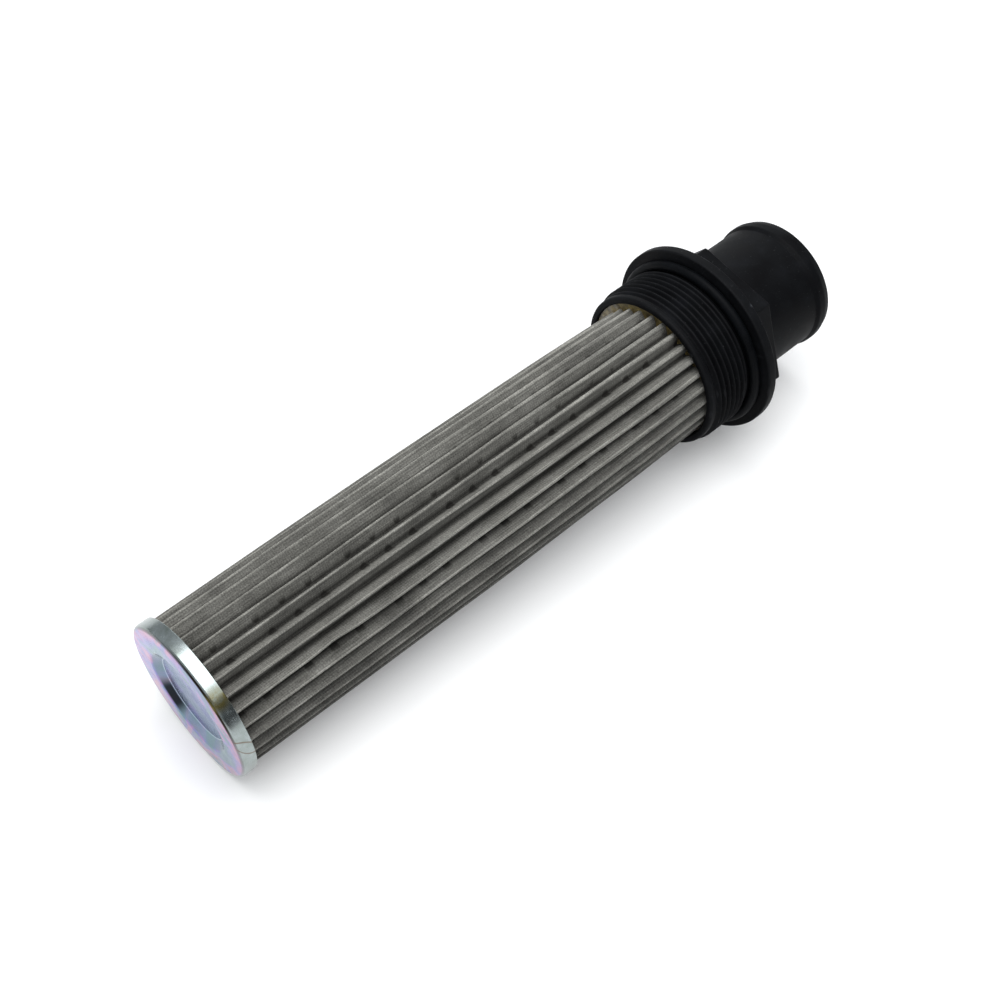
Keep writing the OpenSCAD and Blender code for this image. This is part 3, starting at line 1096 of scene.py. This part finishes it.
@dataclass
class ResinRing:
    """A cast resin ring between the core and a wall, with an uneven surface that may sink to one side."""

    end: ResinEnd
    floor: float
    surface: float
    wall_r: float
    sink: float = 0.0
    high_deg: float = 34.0
    core_r: float = 20.06
    swell: float = 0.35
    calm: float = 0.6
    wick: float = 0.5
    waves: tuple[tuple[int, float], ...] = ((5, 0.4), (11, 0.9), (29, 2.1), (47, 0.3))
    sides: int = 348
    rings: int = 9

    def build(self, finish: bpy.types.Material) -> bpy.types.Object:
        """Builds the ring and puts it on the body.

        Args:
            finish: The resin material.

        Returns:
            The ring.
        """
        angles = even_angles(self.sides)
        out = 1.0 if self.surface > self.floor else -1.0
        lumps = sum(np.sin(n * angles + phase) for n, phase in self.waves) / len(self.waves)
        share = np.linspace(0, 1, self.rings)[:, None]
        radii = self.core_r + (self.wall_r - self.core_r) * share
        # resin creeps up the core and the wall, and lumps less towards the wall
        creep = self.wick * (2 * share - 1) ** 4 - self.wick
        top = self.surface + out * self.swell * (lumps * (1 - self.calm * share) + creep)
        top = top - out * self.sink * (1 - np.cos(angles - math.radians(self.high_deg))) / 2
        floor = np.full((1, len(angles)), self.floor)
        x = np.concatenate([floor, top, floor])
        r = np.concatenate([radii[:1], radii, radii[-1:]])
        points = np.stack([x, r * np.cos(angles), r * np.sin(angles)], -1).reshape(-1, 3) * MM
        piece = make_piece(f"{self.end.value}_resin", points, grid_faces(len(x), len(angles), True), finish)
        return settle(piece, f"{self.end.value}_potting")


@dataclass
class CoreTube:
    """The perforated core tube, which keeps its CAD shape."""

    node: str = "core_tube"

    def dress(self, frame: dict) -> None:
        """Gives the CAD node its finish.
        """
        mesh = frame["nodes"][self.node].data
        mesh.materials.clear()
        mesh.materials.append(PerforatedStrip().material())
        LOG.info("%s: %d faces, kept from the CAD", self.node, len(mesh.polygons))


class Light(NamedTuple):
    """A white soft box: name, place and aim in metres, sides in metres and power in watts."""

    name: str
    place: Point
    aim: Point
    sides: tuple[float, float]
    watts: float


@dataclass
class Studio:
    """A white floor that the strainer lies on, soft boxes, and the camera at the photo's viewing angle.

    The sky is pale overhead and behind the strainer, and dark on the camera's side, which the skirt mirrors.
    """

    flange_low: tuple[float, float] = (0.0, -35.2)
    cap_low: tuple[float, float] = (-214.0, -26.9)
    floor_m: float = 8.0
    floor_points: int = 9
    sensor_mm: float = 36.0
    lens_mm: float = 52.77
    clip_m: tuple[float, float] = (0.01, 50.0)
    eye: Point = (-0.29481, -0.23728, 0.36018)
    right: Point = (0.73513, -0.67718, -0.03191)
    up: Point = (0.53376, 0.54914, 0.64308)
    sky_axis: Point = (-0.35, 0.35, 1.0)
    sky_span: tuple[float, float] = (-0.35, 1.0)
    sky: tuple[tuple[float, str], ...] = (
        (0.0, "#1a1c1e"),
        (0.2, "#303336"),
        (0.44, "#a9adb0"),
        (1.0, "#bcc0c4"),
    )
    lights: tuple[Light, ...] = (
        Light("overhead_box", (-0.1, -0.11, 1.0), (-0.1, -0.08, 0.0), (1.0, 1.02), 12.2),
        Light("front_box", (-0.1, -0.88, 1.0), (-0.1, -0.8, 0.0), (1.0, 0.52), 2.5),
        Light("edge_box", (-0.1, 0.52, 1.0), (-0.1, 0.5, 0.0), (1.0, 0.34), 0.5),
        Light("fill_box", (-1.0, -0.75, 0.65), (-0.1, 0.0, 0.0), (0.8, 0.8), 0.3),
        Light("back_box", (1.0, 1.0, 0.5), (-0.05, 0.0, 0.0), (1.0, 0.8), 4.0),
    )

    def floor(self) -> None:
        """Lays the floor under the flange and the cap, which it touches."""
        slope = math.atan2(self.flange_low[1] - self.cap_low[1], self.flange_low[0] - self.cap_low[0])
        n = self.floor_points
        steps = np.linspace(-self.floor_m / 2, self.floor_m / 2, n)
        along, across = np.meshgrid(steps, steps, indexing="ij")
        flat = np.stack([along, across, np.zeros_like(along)], -1).reshape(-1, 3)
        cells = np.arange(n * n).reshape(n, n)
        faces = np.stack([cells[:-1, :-1], cells[1:, :-1], cells[1:, 1:], cells[:-1, 1:]], -1).reshape(-1, 4)
        floor = make_piece("studio_floor", flat, faces, OpalAcrylic().material())
        place = Vector((self.flange_low[0] * MM, 0.0, self.flange_low[1] * MM))
        floor.matrix_world = Matrix.Translation(place) @ Matrix.Rotation(-slope, 4, "Y")
        # the floor throws no light back, so the strainer's underside stays as dark as in the photo
        floor.visible_diffuse = False

    def light(self) -> None:
        """Sets the soft boxes and the sky."""
        for box in self.lights:
            data = bpy.data.lights.new(box.name, "AREA")
            data.shape = "RECTANGLE"
            data.size, data.size_y = box.sides
            data.energy = box.watts
            lamp = bpy.data.objects.new(box.name, data)
            lamp.location = box.place
            lamp.rotation_euler = (Vector(box.aim) - Vector(box.place)).to_track_quat("-Z", "Y").to_euler()
            bpy.context.scene.collection.objects.link(lamp)
        world = bpy.data.worlds.new("studio_sky")
        world.use_nodes = True
        tree = world.node_tree
        tree.nodes.clear()
        toward = add_node(tree, PLACE).outputs["Generated"]
        rise = add_node(tree, VECTOR, {0: toward, 1: self.sky_axis}, operation="DOT_PRODUCT")
        low, high = self.sky_span
        share = add_node(tree, SPREAD, {"Value": rise, "From Min": low, "From Max": high})
        glow = add_node(tree, RAMP, {"Fac": share}, self.sky)
        sky = add_node(tree, "ShaderNodeBackground", {"Color": glow, "Strength": 1.0})
        add_node(tree, "ShaderNodeOutputWorld", {"Surface": sky})
        bpy.context.scene.world = world

    def camera(self) -> None:
        """Places the camera."""
        data = bpy.data.cameras.new("photo_camera")
        data.sensor_width = self.sensor_mm
        data.lens = self.lens_mm
        data.clip_start, data.clip_end = self.clip_m
        eye = bpy.data.objects.new("photo_camera", data)
        right, up = Vector(self.right).normalized(), Vector(self.up).normalized()
        turn = Matrix((right, up, right.cross(up))).transposed().to_4x4()
        eye.matrix_world = Matrix.Translation(Vector(self.eye)) @ turn
        bpy.context.scene.collection.objects.link(eye)
        bpy.context.scene.camera = eye

    def build(self) -> None:
        """Sets up the studio."""
        bpy.context.scene.view_settings.view_transform = "Standard"
        self.floor()
        self.light()
        self.camera()


def main() -> None:
    """Builds every piece round the frame, in order."""
    logging.basicConfig(level=logging.INFO, format="%(name)s: %(message)s")
    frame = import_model()
    Studio().build()
    Connector().build()
    SealRing().build()
    PleatPack().build()
    CoreTube().dress(frame)
    EndCap().build()
    resin = CastEpoxy().material()
    ResinRing(ResinEnd.OUTLET, floor=-9.3, surface=-21.3, wall_r=26.27, sink=3.2).build(resin)
    ResinRing(ResinEnd.CAP, floor=-214.75, surface=-211.2, wall_r=26.17).build(resin)


if __name__ == "__main__":
    main()
